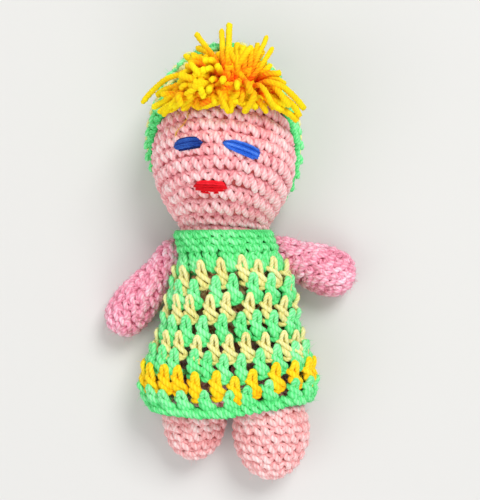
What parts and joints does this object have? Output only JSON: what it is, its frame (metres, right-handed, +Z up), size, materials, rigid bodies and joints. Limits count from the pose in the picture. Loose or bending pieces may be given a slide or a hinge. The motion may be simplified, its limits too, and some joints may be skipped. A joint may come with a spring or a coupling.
{
  "type": "crocheted doll",
  "caption": "Crocheted stuffed doll lying on its back, with a striped flared dress, a striped bonnet, a fringe of yarn hair and a stitched face.",
  "frame": {"origin": "on the table under the dress's second green round, a little to the hem side of its middle, where the dress's back lies flat", "axes": "+X to the doll's left side, +Y from the feet to the head, +Z up out of the face; the doll lies on its back on z = 0"},
  "size_m": [0.1401, 0.2533, 0.0871],
  "materials": {
    "yarn_green": "matt green acrylic yarn",
    "yarn_cream": "matt cream acrylic yarn",
    "yarn_gold": "matt golden yellow acrylic yarn",
    "yarn_blush": "matt pale salmon pink acrylic yarn",
    "yarn_pink": "matt rose pink acrylic yarn",
    "yarn_blue": "blue embroidery yarn",
    "yarn_red": "red embroidery yarn",
    "fibre_fill": "loose white polyester fibre"
  },
  "bodies": {
    "torso": {"torso": "yarn_pink", "torso_stuffing": "fibre_fill", "neck_seam": "yarn_green", "dress_cream_1": "yarn_cream", "dress_cream_2": "yarn_cream", "dress_cream_3": "yarn_cream", "dress_gold": "yarn_gold", "dress_green_1": "yarn_green", "dress_green_2": "yarn_green", "dress_green_3": "yarn_green", "dress_hem": "yarn_green", "dress_yoke": "yarn_green"},
    "head": {"bonnet_back": "yarn_green", "bonnet_rim": "yarn_green", "bonnet_round_cream_1": "yarn_cream", "bonnet_round_cream_2": "yarn_cream", "bonnet_round_green": "yarn_green", "eye_left": "yarn_blue", "eye_right": "yarn_blue", "hair_far_left": "yarn_gold", "hair_far_right": "yarn_gold", "hair_left": "yarn_gold", "hair_middle": "yarn_gold", "hair_right": "yarn_gold", "head": "yarn_blush", "head_stuffing": "fibre_fill", "mouth": "yarn_red"},
    "arm_right": {"arm_right": "yarn_pink", "arm_right_stuffing": "fibre_fill"},
    "arm_left": {"arm_left": "yarn_pink", "arm_left_stuffing": "fibre_fill"},
    "leg_right": {"leg_right": "yarn_blush", "leg_right_stuffing": "fibre_fill"},
    "leg_left": {"leg_left": "yarn_blush", "leg_left_stuffing": "fibre_fill"}
  },
  "joints": [
    {"name": "neck", "type": "hinge", "parent": "torso", "child": "head", "pos_m": [-0.003, 0.05658, 0.0245], "axis": [1, 0, 0], "range_deg": [0, 15]},
    {"name": "shoulder_right", "type": "hinge", "parent": "torso", "child": "arm_right", "pos_m": [-0.03176, 0.03858, 0.0119], "axis": [0, 0, -1], "range_deg": [-6, 70]},
    {"name": "shoulder_left", "type": "hinge", "parent": "torso", "child": "arm_left", "pos_m": [0.02882, 0.03858, 0.0121], "axis": [0, 0, 1], "range_deg": [-24, 45]},
    {"name": "hip_right", "type": "hinge", "parent": "torso", "child": "leg_right", "pos_m": [-0.014, -0.01322, 0.0235], "axis": [-1, 0, 0], "range_deg": [0, 8]},
    {"name": "hip_left", "type": "hinge", "parent": "torso", "child": "leg_left", "pos_m": [0.014, -0.01322, 0.0235], "axis": [-1, 0, 0], "range_deg": [0, 5]}
  ]
}
